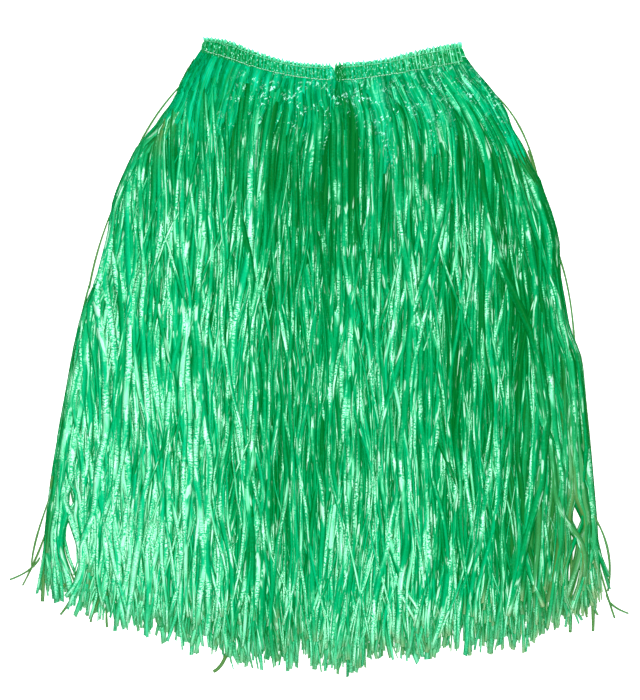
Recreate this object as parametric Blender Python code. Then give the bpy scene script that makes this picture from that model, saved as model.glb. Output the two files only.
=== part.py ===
"""A plastic grass skirt lying flat on its back, front side up.

The real skirt is one long panel of film, slit into strands almost to its top. The top is folded over an
elastic and gathered into a waistband with a frilled edge, and the panel's two ends meet at the centre front.
Here the waistband is one flattened ring that is open at that join, and the strands hang from it in four
layers, two at the back and two at the front. Each layer is a narrow strip of film with its locks of strands.

Metres. +Z is up, +Y runs from the hem to the waist, and the origin is under the middle of the skirt.
"""

import math
import random
from collections import namedtuple

import bmesh
import bpy
from mathutils import Matrix, Vector

# The skirt's length from frill to hem is 0.75 m at the centre, and its waistband is 0.34 m wide lying flat.

# How the strands spread from waist to hem: the share of the way down, the skirt's left and right edges there,
# the height of the pile, and how far the strands sway, as a share of the skirt's width, and with what phase.
Section = namedtuple("Section", "share left right pile sway phase")
SECTIONS = (
    Section(0.00, -0.1480, 0.1850, 0.0085, 0.000, 0.00),
    Section(0.02, -0.1580, 0.1963, 0.0085, 0.000, 0.00),
    Section(0.06, -0.1738, 0.2219, 0.0130, 0.002, 0.00),
    Section(0.13, -0.2106, 0.2558, 0.0170, 0.005, 0.10),
    Section(0.25, -0.2515, 0.2875, 0.0180, 0.008, 0.22),
    Section(0.42, -0.2865, 0.3165, 0.0170, 0.010, 0.38),
    Section(0.64, -0.3195, 0.3340, 0.0150, 0.010, 0.55),
    Section(0.86, -0.3425, 0.3490, 0.0120, 0.008, 0.72),
    Section(1.00, -0.3500, 0.3588, 0.0090, 0.006, 0.80),
)
STRIP_SECTIONS = 2  # the first two sections bound the strip that the locks hang from
SWAYS = 3  # waves of the sway across the skirt

# Along the waist, from the left side (0) to the right side (1): the height of the waistband's lower edge, and
# how tall the band is there.
Waist = namedtuple("Waist", "across y tall")
WAIST = (
    Waist(0.00, 0.3813, 0.0166),
    Waist(0.08, 0.3736, 0.0212),
    Waist(0.17, 0.3633, 0.0216),
    Waist(0.30, 0.3524, 0.0191),
    Waist(0.46, 0.3454, 0.0204),
    Waist(0.56, 0.3453, 0.0222),
    Waist(0.73, 0.3523, 0.0219),
    Waist(0.84, 0.3584, 0.0248),
    Waist(1.00, 0.3679, 0.0247),
)
BAND_LEAN = (0.0029, -0.0063)  # how far the band's left and right sides lean in, from lower edge to frill

# Along the hem: where the longest strands end.
Hem = namedtuple("Hem", "across y")
HEM = (
    Hem(0.00, -0.3060),
    Hem(0.05, -0.3140),
    Hem(0.11, -0.3340),
    Hem(0.20, -0.3520),
    Hem(0.30, -0.3790),
    Hem(0.40, -0.3900),
    Hem(0.50, -0.3900),
    Hem(0.56, -0.3980),
    Hem(0.65, -0.3810),
    Hem(0.77, -0.3740),
    Hem(0.87, -0.3640),
    Hem(0.93, -0.3450),
    Hem(1.00, -0.3160),
)

# The largest folds: valleys in the pile, each drifting sideways on its way down.
Valley = namedtuple("Valley", "across drift width depth")
VALLEYS = (
    Valley(0.13, -0.03, 0.045, 0.16),
    Valley(0.33, -0.02, 0.050, 0.14),
    Valley(0.52, 0.01, 0.040, 0.24),
    Valley(0.70, 0.03, 0.050, 0.14),
    Valley(0.86, 0.02, 0.045, 0.18),
)
EDGE_WIDTH = 0.08  # the pile thins over this share of the width at each side
EDGE_THINNING = 0.50

# The layers of strands, lowest first. A front layer is in two halves, parted at the centre-front join.
Fringe = namedtuple("Fringe", "name layer first last locks")
JOIN = 0.505  # where the panel's two ends meet, as a share of the waist
JOIN_GAP = 0.002  # half the notch there, as a share of the waist
FRINGES = (
    Fringe("back_outer_strands", 0, 0.0, 1.0, 66),
    Fringe("back_inner_strands", 1, 0.0, 1.0, 56),
    Fringe("front_inner_left_strands", 2, 0.0, JOIN - JOIN_GAP, 30),
    Fringe("front_inner_right_strands", 2, JOIN + JOIN_GAP, 1.0, 28),
    Fringe("front_outer_left_strands", 3, 0.0, JOIN - JOIN_GAP, 35),
    Fringe("front_outer_right_strands", 3, JOIN + JOIN_GAP, 1.0, 33),
)
LAYERS = 4

# Locks at the side edges that stray outwards: which end of the layer, and how far the tip is moved.
Stray = namedtuple("Stray", "fringe end reach rise")
STRAYS = (
    Stray("front_outer_left_strands", "first", -0.0440, 0.0150),
    Stray("back_outer_strands", "first", -0.0270, 0.0050),
    Stray("back_inner_strands", "first", -0.0050, -0.0110),
    Stray("front_outer_right_strands", "last", 0.0330, -0.0120),
    Stray("back_outer_strands", "last", 0.0120, -0.0220),
)
STRAY_START = 0.22  # share of that reach already made at the section above the tip

# Locks.
SEAM_GAP = 0.0003
LAYER_GAP = 0.0003
LOCK_GAP = 0.0005
LOCK_UNEVEN = 0.28  # how far a line between two locks strays from an even spacing, as a share of it
LOCK_RAGGED = 0.0012  # the most that a lock's side stands further in than the gap asks
LOCK_TIP_WIDTH = 0.55  # of its width higher up
LOCK_SHORTEST = 0.968  # of the way to the hem
RIDGE_LEAST = 0.72  # of the layer's height
RIDGE_WANDER = 0.18  # how far the ridge wanders from the lock's middle, as a share of its width

# The waistband's wall, as a closed section: the height over the lower edge as a share of the band's, how far
# the wall stands out from the ring's middle plane at the front and at the back, and how deep the gathers are.
BandRow = namedtuple("BandRow", "height front back front_gather back_gather")
BAND_ROWS = (
    BandRow(0.00, 0.0002, 0.0002, 0.0000, 0.0000),
    BandRow(0.00, 0.0040, 0.00425, 0.0004, 0.0000),
    BandRow(0.07, 0.0033, 0.00425, 0.0002, 0.0000),
    BandRow(0.45, 0.0052, 0.00425, 0.0008, 0.0000),
    BandRow(0.74, 0.0034, 0.00425, 0.0003, 0.0000),
    BandRow(1.00, 0.0042, 0.00425, 0.0010, 0.0000),
    BandRow(1.00, 0.0020, 0.0028, 0.0000, 0.0005),
)
BAND_MIDDLE = 0.00425  # height of the ring's middle plane over the floor
GATHERS = 65  # across the front, and as many across the back
FOLD_STEPS = 6  # round each side fold
FRILL_WAVE = 0.0009  # how far the frill's edge rises and falls with the gathers

FILM_GREEN = (0.012, 0.440, 0.140, 1.0)
BAND_GREEN = (0.010, 0.370, 0.130, 1.0)
FILM_ROUGHNESS = 0.32


def rows_around(rows, place):
    """The rows on either side of a place, which is each row's first column, and the share of the way."""
    for upper, lower in zip(rows, rows[1:]):
        if place <= lower[0]:
            return upper, lower, (place - upper[0]) / (lower[0] - upper[0])
    return rows[-2], rows[-1], 1.0


def curve_through(rows, place, column):
    """A column's value at a place, on a smooth curve through the rows."""
    before, after, share = rows_around(rows, place)
    index = rows.index(before)
    earlier, later = rows[max(index - 1, 0)], rows[min(index + 2, len(rows) - 1)]
    start, end = getattr(before, column), getattr(after, column)
    span = after[0] - before[0]
    leaving = (end - getattr(earlier, column)) / (after[0] - earlier[0]) * span
    arriving = (getattr(later, column) - start) / (later[0] - before[0]) * span
    eased = share * share * (3 - 2 * share)
    hermite = share * (1 - share) * ((1 - share) * leaving - share * arriving)
    return start + (end - start) * eased + hermite


def pile_share(across, share):
    """The pile's height at a place as a share of its full height: valleys, and thinner sides."""
    height = 1.0
    for side in (across, 1 - across):
        height -= EDGE_THINNING * math.exp(-((max(side, 0) / EDGE_WIDTH) ** 2))
    for valley in VALLEYS:
        away = (across - valley.across - valley.drift * share) / valley.width
        height -= valley.depth * math.exp(-away * away)
    return height


def point_in_section(across, section, layer):
    """Where one line of strands crosses a section: x, y and the height of the pile."""
    turn = 2 * math.pi * (SWAYS * across + section.phase + layer / LAYERS)
    held = math.sin(math.pi * across)  # the side edges keep the outline
    swayed = across + section.sway * held * math.sin(turn)
    top = curve_through(WAIST, across, "y") - SEAM_GAP
    hem = curve_through(HEM, across, "y")
    full = section.pile
    if SECTIONS.index(section) >= STRIP_SECTIONS:
        full *= pile_share(swayed, section.share)
    return Vector((section.left + (section.right - section.left) * swayed, top + (hem - top) * section.share, full))


def point_in_pile(across, share, layer):
    """The same at any share of the way down, straight between two sections, as the locks are."""
    upper, lower, between = rows_around(SECTIONS, share)
    return point_in_section(across, upper, layer).lerp(point_in_section(across, lower, layer), between)


def layer_floor(pile, layer):
    return pile * layer / LAYERS + (LAYER_GAP / 2 if layer else 0.0)


def layer_roof(pile, layer):
    return pile * (layer + 1) / LAYERS - LAYER_GAP / 2


def new_object(name, bm, colour):
    """Closes a bmesh into a named object with a material of its own."""
    bmesh.ops.recalc_face_normals(bm, faces=bm.faces)
    mesh = bpy.data.meshes.new(name)
    bm.to_mesh(mesh)
    bm.free()
    material = bpy.data.materials.new(name + "_film")
    material.use_nodes = True
    shader = material.node_tree.nodes["Principled BSDF"]
    shader.inputs["Base Color"].default_value = colour
    shader.inputs["Roughness"].default_value = FILM_ROUGHNESS
    mesh.materials.append(material)
    made = bpy.data.objects.new(name, mesh)
    bpy.data.collections["grass_skirt"].objects.link(made)
    return made


def grow(bm, face, ring, places):
    """Extrudes a face and moves its corners, held in order in ring, to places. Returns the new face and ring."""
    there = {tuple(corner.co): index for index, corner in enumerate(ring)}
    face = bmesh.ops.extrude_discrete_faces(bm, faces=[face])["faces"][0]
    ring = sorted(face.verts, key=lambda corner: there[tuple(corner.co)])
    for corner, place in zip(ring, places):
        corner.co = place
    return face, ring


def lock_lines(fringe):
    """The lines of strands between which a layer's locks lie, as shares of the skirt's width."""
    chance = random.Random(fringe.name + " lines")
    pitch = (fringe.last - fringe.first) / fringe.locks
    between = [fringe.first + (index + chance.uniform(-1, 1) * LOCK_UNEVEN) * pitch for index in range(1, fringe.locks)]
    return [fringe.first, *between, fringe.last]


def stray_offset(fringe, index, share):
    """How far a straying lock is moved at a section, in the plane of the floor."""
    offset = Vector((0.0, 0.0, 0.0))
    last_full, tip = SECTIONS[-2].share, SECTIONS[-1].share
    for stray in STRAYS:
        if stray.fringe != fringe.name or index != (0 if stray.end == "first" else fringe.locks - 1):
            continue
        if share >= last_full:
            made = STRAY_START + (1 - STRAY_START) * (share - last_full) / (tip - last_full)
            offset += Vector((stray.reach * made, stray.rise * made, 0.0))
    return offset


def lock_section(fringe, lines, index, share, chance, narrowed=1.0):
    """A lock's three corners at a share of the way down: left, right and ridge."""
    left = point_in_pile(lines[index], share, fringe.layer)
    right = point_in_pile(lines[index + 1], share, fringe.layer)
    width = (right - left).xy.length
    inset_left = LOCK_GAP / 2 + chance.random() * LOCK_RAGGED + width * (1 - narrowed) / 2
    inset_right = LOCK_GAP / 2 + chance.random() * LOCK_RAGGED + width * (1 - narrowed) / 2
    left_corner = left.lerp(right, inset_left / width)
    right_corner = right.lerp(left, inset_right / width)
    ridge = left_corner.lerp(right_corner, 0.5 + RIDGE_WANDER * chance.uniform(-1, 1))
    floor = layer_floor(ridge.z, fringe.layer)
    ridge.z = floor + (layer_roof(ridge.z, fringe.layer) - floor) * chance.uniform(RIDGE_LEAST, 1.0)
    left_corner.z = layer_floor(left_corner.z, fringe.layer)
    right_corner.z = layer_floor(right_corner.z, fringe.layer)
    moved = stray_offset(fringe, index, share)
    return [left_corner + moved, right_corner + moved, ridge + moved]


def strip_face(bm, fringe, lines):
    """Makes the strip of film that the locks hang from. Returns its underside, and that face's edge at each lock."""
    top, bottom = SECTIONS[0].share, SECTIONS[STRIP_SECTIONS - 1].share
    floor = layer_floor(SECTIONS[0].pile, fringe.layer)
    roof = layer_roof(SECTIONS[0].pile, fringe.layer)
    outline, roots = [], []
    for left_line, right_line in zip(lines, lines[1:]):
        left = point_in_pile(left_line, bottom, fringe.layer)
        right = point_in_pile(right_line, bottom, fringe.layer)
        gap = LOCK_GAP / 2 / (right - left).xy.length
        roots.append(len(outline))
        outline += [left.lerp(right, gap), right.lerp(left, gap)]
    outline += [point_in_pile(line, top, fringe.layer) for line in reversed(lines)]
    corners = [bm.verts.new((place.x, place.y, floor)) for place in outline]
    base = bm.faces.new(corners)
    lifted = bmesh.ops.extrude_face_region(bm, geom=[base])["geom"]
    raised = [item for item in lifted if isinstance(item, bmesh.types.BMVert)]
    bmesh.ops.translate(bm, verts=raised, vec=(0, 0, roof - floor))
    return base, [bm.edges.get((corners[root], corners[root + 1])) for root in roots]


def build_fringe(fringe):
    """One layer's strip with its locks: each root's face is extruded and drawn to a three-sided lock."""
    chance = random.Random(fringe.name)
    bm = bmesh.new()
    lines = lock_lines(fringe)
    base, edges = strip_face(bm, fringe, lines)
    for index, edge in enumerate(edges):
        face = next(side for side in edge.link_faces if side is not base)
        low = sorted(edge.verts, key=lambda corner: corner.co.x)
        high = sorted((corner for corner in face.verts if corner not in low), key=lambda corner: corner.co.x)
        shares = [section.share for section in SECTIONS[STRIP_SECTIONS:-1]]
        tip = chance.uniform(LOCK_SHORTEST, 1.0)
        left, right, ridge = lock_section(fringe, lines, index, shares[0], chance)
        face, ring = grow(bm, face, low + high, [left, right, ridge, ridge])
        bmesh.ops.pointmerge(bm, verts=ring[2:], merge_co=ridge)
        ring = ring[:3]
        for share in shares[1:]:
            face, ring = grow(bm, face, ring, lock_section(fringe, lines, index, share, chance))
        grow(bm, face, ring, lock_section(fringe, lines, index, tip, chance, LOCK_TIP_WIDTH))
    return new_object(fringe.name, bm, FILM_GREEN)


def band_columns():
    """The waistband's columns in order round the ring, from the join: the place across the waist, how far the
    wall has turned from front (0) to back (1), which side it turns round, and 1 or -1 on or between gathers."""
    steps = 2 * GATHERS
    across = [step / steps for step in range(steps + 1)]
    heights = [1 if step % 2 else -1 for step in range(steps + 1)]
    gathers = list(zip(across, heights))
    turns = [step / FOLD_STEPS for step in range(1, FOLD_STEPS)]
    columns = [(JOIN + JOIN_GAP, 0.0, 1, 0)]
    columns += [(place, 0.0, 1, height) for place, height in gathers if place > JOIN + JOIN_GAP]
    columns += [(1.0, turned, 1, 0) for turned in turns]
    columns += [(place, 1.0, 1, height) for place, height in reversed(gathers)]
    columns += [(0.0, turned, -1, 0) for turned in reversed(turns)]
    columns += [(place, 0.0, -1, height) for place, height in gathers if place < JOIN - JOIN_GAP]
    columns += [(JOIN - JOIN_GAP, 0.0, -1, 0)]
    return columns


def band_section(across, turned, side, gather):
    """The closed section of the waistband's wall at one column."""
    lower = curve_through(WAIST, across, "y")
    tall = curve_through(WAIST, across, "tall")
    places = []
    for row in BAND_ROWS:
        left = SECTIONS[0].left + BAND_MIDDLE + BAND_LEAN[0] * row.height
        right = SECTIONS[0].right - BAND_MIDDLE + BAND_LEAN[1] * row.height
        front = row.front + row.front_gather * gather
        back = row.back + row.back_gather * gather
        out = front + (back - front) * turned
        rise = FRILL_WAVE * gather if row.height == 1.0 else 0.0
        x = left + (right - left) * across + side * out * math.sin(math.pi * turned)
        places.append(Vector((x, lower + tall * row.height + rise, BAND_MIDDLE + out * math.cos(math.pi * turned))))
    return places


def build_waistband():
    """The gathered waistband: its closed section swept round the flattened ring, open at the front join."""
    bm = bmesh.new()
    columns = band_columns()
    ring = [bm.verts.new(place) for place in band_section(*columns[0])]
    start = bm.faces.new(ring)
    lid = bm.faces.new([bm.verts.new(corner.co) for corner in reversed(ring)])
    face = start
    for column in columns[1:]:
        face, ring = grow(bm, face, ring, band_section(*column))
    bmesh.ops.remove_doubles(bm, verts=list({*lid.verts, *bm.verts}), dist=0.000001)
    return new_object("waistband", bm, BAND_GREEN)


def centre(objects):
    """Moves the finished meshes together, so that the origin is under the middle of the skirt."""
    corners = [corner.co for made in objects for corner in made.data.vertices]
    middle = [(min(place[axis] for place in corners) + max(place[axis] for place in corners)) / 2 for axis in (0, 1)]
    for made in objects:
        made.data.transform(Matrix.Translation((-middle[0], -middle[1], 0.0)))


def main():
    for old in list(bpy.data.objects):
        bpy.data.objects.remove(old)
    bpy.context.scene.collection.children.link(bpy.data.collections.new("grass_skirt"))
    centre([build_waistband(), *(build_fringe(fringe) for fringe in FRINGES)])


main()
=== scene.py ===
"""The looks of a plastic grass skirt: green film, gathered and slit into strands, on a white floor."""

import math
from collections import namedtuple

import bmesh
import bpy
import numpy as np
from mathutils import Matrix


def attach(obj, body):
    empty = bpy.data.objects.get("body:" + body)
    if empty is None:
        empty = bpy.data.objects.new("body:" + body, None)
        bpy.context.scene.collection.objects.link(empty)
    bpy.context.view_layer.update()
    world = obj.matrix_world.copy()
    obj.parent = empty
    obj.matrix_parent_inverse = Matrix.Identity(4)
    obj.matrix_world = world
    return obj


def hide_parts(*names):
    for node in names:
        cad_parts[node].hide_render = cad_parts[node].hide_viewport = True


# ---- Sizes, in metres: +Y runs from the hem to the waist, and the skirt lies on z = 0, front up ----

# How the strands spread from waist to hem: share of the way down, left and right edges, height of the pile.
Section = namedtuple("Section", "share left right pile")
SECTIONS = (
    Section(0.00, -0.1480, 0.1850, 0.0085),
    Section(0.02, -0.1580, 0.1963, 0.0095),
    Section(0.06, -0.1738, 0.2219, 0.0130),
    Section(0.13, -0.2106, 0.2558, 0.0165),
    Section(0.25, -0.2525, 0.2868, 0.0175),
    Section(0.42, -0.2880, 0.3188, 0.0165),
    Section(0.64, -0.3210, 0.3363, 0.0145),
    Section(0.86, -0.3435, 0.3505, 0.0115),
    Section(1.00, -0.3495, 0.3585, 0.0085),
)

# Along the waist, from the left side (0) to the right (1): the waistband's lower edge and how tall it is.
Waist = namedtuple("Waist", "across y tall")
WAIST = (
    Waist(0.00, 0.3813, 0.0176),
    Waist(0.08, 0.3736, 0.0222),
    Waist(0.17, 0.3633, 0.0216),
    Waist(0.30, 0.3524, 0.0191),
    Waist(0.46, 0.3454, 0.0204),
    Waist(0.56, 0.3453, 0.0222),
    Waist(0.73, 0.3523, 0.0219),
    Waist(0.84, 0.3584, 0.0248),
    Waist(1.00, 0.3679, 0.0247),
)

# Along the hem: where the longest strands end.
Hem = namedtuple("Hem", "across y")
HEM = (
    Hem(0.00, -0.3060),
    Hem(0.05, -0.3140),
    Hem(0.11, -0.3350),
    Hem(0.20, -0.3560),
    Hem(0.30, -0.3770),
    Hem(0.40, -0.3900),
    Hem(0.50, -0.3890),
    Hem(0.56, -0.3930),
    Hem(0.65, -0.3840),
    Hem(0.77, -0.3720),
    Hem(0.87, -0.3620),
    Hem(0.93, -0.3440),
    Hem(1.00, -0.3160),
)

# The largest folds: valleys in the pile, each drifting sideways on its way down.
Valley = namedtuple("Valley", "across drift width depth")
VALLEYS = (
    Valley(0.13, -0.03, 0.045, 0.16),
    Valley(0.33, -0.02, 0.050, 0.14),
    Valley(0.52, 0.01, 0.035, 0.26),
    Valley(0.70, 0.03, 0.050, 0.14),
    Valley(0.86, 0.02, 0.045, 0.18),
)

# Where the strands lie deeper and get painted shade, or lie thinner and are painted paler, as the white
# floor shows through them.
Patch = namedtuple("Patch", "across share wide long tone")
PATCHES = (
    Patch(0.53, 0.08, 0.035, 0.090, -0.30),
    Patch(0.54, 0.20, 0.024, 0.110, -0.24),
    Patch(0.75, 0.52, 0.016, 0.120, -0.30),
    Patch(0.89, 0.42, 0.032, 0.140, -0.20),
    Patch(0.50, 0.63, 0.030, 0.060, -0.16),
    Patch(0.38, 0.80, 0.018, 0.080, -0.22),
    Patch(0.30, 0.06, 0.240, 0.050, -0.10),
    Patch(0.12, 0.30, 0.080, 0.160, 0.06),
    Patch(0.14, 0.50, 0.120, 0.160, 0.18),
    Patch(0.16, 0.84, 0.150, 0.220, 0.38),
    Patch(0.82, 0.20, 0.150, 0.140, -0.10),
    Patch(0.82, 0.50, 0.160, 0.240, -0.12),
    Patch(0.86, 0.82, 0.120, 0.120, -0.12),
    Patch(0.45, 0.20, 0.140, 0.100, -0.20),
    Patch(0.52, 0.90, 0.400, 0.080, 0.10),
    Patch(0.58, 0.80, 0.140, 0.160, 0.08),
)

# Where the film has yellowed.
YELLOWED = (
    Patch(0.035, 0.130, 0.035, 0.050, 0.90),
    Patch(0.98, 0.86, 0.090, 0.200, 1.00),
    Patch(0.99, 0.16, 0.030, 0.050, 0.70),
)

JOIN = 0.505  # where the film's two ends meet, as a share of the waist
JOIN_LOW = 0.524  # the same at the hem
JOIN_GAP = 0.0008  # half of what parts them there
JOIN_BARE = (0.492, 0.534)  # the stretch of waist by the join without stitches
NOTCH = (0.0042, 0.0012)  # how far the frill's left and right ends lean away from the join
NOTCH_REACH = 0.014  # how far along the waist they lean, as a share of it
NOTCH_FROM = 0.70  # the share of the band's height above which they lean
NOTCH_DIP = 0.0085  # how far the back's frill dips behind it

# The strands, by the solid that each set stands for: the stretch of hem that they hang to, how high in the
# pile they lie, how many there are, how many stretches each is made of, and how far they hang straight down
# (1) or spread evenly from the waist (0).
Strands = namedtuple("Strands", "node first last low high count stretches straight")
STRANDS = (
    Strands("back_outer_strands", 0.0, 1.0, 0.00, 0.26, 540, 28, 0.00),
    Strands("back_inner_strands", 0.0, 1.0, 0.24, 0.52, 410, 28, 0.20),
    Strands("front_inner_left_strands", 0.0, JOIN_LOW, 0.46, 0.74, 290, 34, 0.70),
    Strands("front_inner_right_strands", JOIN_LOW, 1.0, 0.46, 0.74, 280, 34, 0.35),
    Strands("front_outer_left_strands", 0.0, JOIN_LOW, 0.64, 1.00, 445, 44, 1.00),
    Strands("front_outer_right_strands", JOIN_LOW, 1.0, 0.64, 1.00, 435, 44, 0.50),
)
SOFT_TURN = 0.022  # share of the way down in which a strand turns straight
HANG_LEVEL = 0.92  # share of the way down at which they are spread evenly
FAN = 1.2  # how much the strands that could hang plumb fan out all the same
STRAND_WIDTH = 0.0060
STRAND_LENGTH = 0.74  # from the waistband to the hem
NARROWEST, WIDEST = 0.0014, 0.0115
FILM = 0.00016  # half a strip's thickness along its middle, which is more than real film's
FLOOR_GAP = 0.0004
CLEARANCE = 0.0001  # the least height over the floor
CLUMPS = 44  # bundles that neighbouring strands draw together in
CLUMP_TRAITS = ("shift", "sway_start", "sway_rate", "tone", "cut")  # each a random number
TUFTS = 190  # smaller bundles at the hem
TIP_REACH = 1.016  # share of the way down that the longest strands reach
TIP_SPREAD = 0.088  # how much shorter than the longest the strands are cut
CROSSING = 0.24  # share of the strands that cross their neighbours
FLARED = 0.14  # share of the tips that stick out sideways
SURFACE = 1.04  # how high in the pile the highest of them lie

# How they lie on their way down, the first five as shares of the skirt's width.
SLOW_WANDER = 0.015
QUICK_WANDER = 0.0026
DRIFT = 0.015
CROSSING_DRIFT = 0.046
SWAY = 0.026  # of a whole clump
STRAIGHTNESS = (1.03, 0.12)  # mean and spread of how straight they hang once they stop spreading
BUNCHED = 0.80  # how closely a clump draws together, where 1 is fully
TUFTED = 0.42  # and a tuft at the hem

# Strands that come up out of the front and cross over the others.
LOOSE = 190
LOOSE_STRETCHES = 30
TWISTED = 0.45  # share of them that are twisted as thin as thread
LOOSE_WIDTHS = (0.0042, 0.0013)  # of the flat ones, and of the twisted ones

# Strands that leave the rest: three places each passes through, and its width.
Stray = namedtuple("Stray", "x0 y0 x1 y1 x2 y2 width")
STRAYS = (
    Stray(-0.1700, 0.3430, -0.2088, 0.2956, -0.2375, 0.2394, 0.0024),
    Stray(-0.1900, 0.3100, -0.2080, 0.2850, -0.2260, 0.2520, 0.0024),
    Stray(-0.2500, 0.2050, -0.2738, 0.1456, -0.2890, 0.0850, 0.0024),
    Stray(-0.2350, 0.2394, -0.2512, 0.2019, -0.2640, 0.1644, 0.0024),
    Stray(-0.2880, 0.0894, -0.3015, 0.0331, -0.3140, -0.0419, 0.0024),
    Stray(-0.3140, -0.0419, -0.3253, -0.0981, -0.3353, -0.1544, 0.0024),
    Stray(0.2180, 0.3300, 0.2530, 0.2850, 0.2750, 0.2206, 0.0024),
    Stray(0.2480, 0.2750, 0.2640, 0.2440, 0.2740, 0.2060, 0.0024),
    Stray(0.2615, 0.2581, 0.2800, 0.2019, 0.2940, 0.1456, 0.0024),
    Stray(0.2900, 0.1500, 0.3110, 0.0900, 0.3210, 0.0080, 0.0026),
    Stray(0.3060, 0.0560, 0.3190, 0.0100, 0.3290, -0.0500, 0.0024),
    Stray(0.3228, 0.0144, 0.3315, -0.0606, 0.3415, -0.1356, 0.0024),
    Stray(-0.3350, -0.1700, -0.3540, -0.2250, -0.3612, -0.2630, 0.0026),
    Stray(-0.3500, -0.2520, -0.3640, -0.2680, -0.3885, -0.2805, 0.0026),
    Stray(-0.3360, -0.2000, -0.3520, -0.2450, -0.3725, -0.2880, 0.0026),
    Stray(-0.3340, -0.1500, -0.3420, -0.2200, -0.3475, -0.3080, 0.0052),
    Stray(-0.3360, -0.2400, -0.3400, -0.2620, -0.3515, -0.2860, 0.0032),
    Stray(-0.3300, -0.1500, -0.3350, -0.2200, -0.3325, -0.2790, 0.0036),
    Stray(-0.3220, -0.1900, -0.3280, -0.2450, -0.3262, -0.2920, 0.0050),
    Stray(-0.3160, -0.2820, -0.3240, -0.2940, -0.3312, -0.3000, 0.0034),
    Stray(-0.2960, -0.2760, -0.3120, -0.3060, -0.3250, -0.3245, 0.0030),
    Stray(-0.3000, -0.2600, -0.3090, -0.2900, -0.3130, -0.3055, 0.0034),
    Stray(-0.3215, -0.2380, -0.3140, -0.2650, -0.3030, -0.2920, 0.0024),
    Stray(-0.2880, -0.2800, -0.2900, -0.3100, -0.2912, -0.3260, 0.0046),
    Stray(-0.2700, -0.2960, -0.2820, -0.3180, -0.2870, -0.3340, 0.0030),
    Stray(-0.2660, -0.2960, -0.2670, -0.3240, -0.2662, -0.3405, 0.0030),
    Stray(-0.1100, -0.3400, -0.1180, -0.3780, -0.1330, -0.3960, 0.0044),
    Stray(0.0340, -0.3450, 0.0390, -0.3800, 0.0415, -0.3975, 0.0042),
    Stray(0.0460, -0.3450, 0.0460, -0.3780, 0.0465, -0.3945, 0.0036),
    Stray(0.3440, -0.2000, 0.3625, -0.2450, 0.3625, -0.2950, 0.0030),
    Stray(0.3600, -0.2980, 0.3680, -0.3120, 0.3885, -0.3230, 0.0026),
    Stray(0.3420, -0.2300, 0.3570, -0.2850, 0.3710, -0.3290, 0.0026),
    Stray(0.3380, -0.2300, 0.3430, -0.3000, 0.3437, -0.3455, 0.0044),
    Stray(0.3320, -0.2550, 0.3400, -0.3000, 0.3500, -0.3250, 0.0034),
    Stray(0.3240, -0.2300, 0.3300, -0.2850, 0.3360, -0.3280, 0.0030),
    Stray(0.3160, -0.2300, 0.3160, -0.3000, 0.3150, -0.3468, 0.0040),
    Stray(0.3280, -0.2500, 0.3180, -0.2950, 0.3050, -0.3220, 0.0026),
    Stray(0.2980, -0.2900, 0.2950, -0.3250, 0.2960, -0.3430, 0.0030),
)
STRAY_STRETCHES = 18
STRAY_LENGTH = 0.12  # on average

# Slits where the white floor shows between the strands.
Slit = namedtuple("Slit", "across share wide long lean")
SLITS = (
    Slit(0.040, 0.806, 0.0125, 0.030, 0.00),
    Slit(0.050, 0.900, 0.0200, 0.080, 0.20),
    Slit(0.962, 0.828, 0.0150, 0.056, 0.00),
    Slit(0.952, 0.905, 0.0165, 0.080, -0.16),
)

# Where the side strands bow away from the rest, and the floor shows behind them: side (-1 left, 1 right),
# share of the way down, how far along they do and how far in the rest stay.
Bow = namedtuple("Bow", "side share long deep")
BOWS = (
    Bow(-1, 0.115, 0.045, 0.0200),
    Bow(-1, 0.370, 0.080, 0.0150),
    Bow(1, 0.130, 0.070, 0.0200),
    Bow(1, 0.430, 0.085, 0.0190),
)

# The yoke: the film's unslit top, in wide folds that narrow into strands.
Yoke = namedtuple("Yoke", "name first last low high count straight")
YOKES = (
    Yoke("back_yoke_film", 0.0, 1.0, 0.02, 0.20, 120, 0.00),
    Yoke("front_left_yoke_film", 0.0, JOIN_LOW, 0.94, 1.08, 90, 0.80),
    Yoke("front_right_yoke_film", JOIN_LOW, 1.0, 0.94, 1.08, 80, 0.50),
)
YOKE_WIDTH = 0.0165
YOKE_SPAN = 0.36  # how wide the skirt is there
YOKE_STRETCHES = 18

# The waistband.
GATHERS = 65  # across the front, and as many across the back
BAND_TALL = 0.021  # on average
BAND_ROUND = 0.333  # across the front
BAND_MIDDLE = 0.00425  # height over the floor of the plane between its front and back walls
BAND_LEAN = (0.0029, -0.0063)  # how far its left and right sides lean in, from lower edge to frill
FRILL = 0.76  # where the frill starts, as a share of the band's height
FRILL_RISE = 0.0019
STITCH_LINES = (0.06, FRILL)  # heights of the two rows of stitches, as shares of the band's
STITCH_TONES = (0.70, 0.10)  # how pale the thread is in each
STITCH_LENGTH = 0.0026
STITCH_PITCH = 0.0033
STITCH_OUT = 0.0045  # how far they stand out from the ring's middle plane
THREAD = 0.0008

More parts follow.
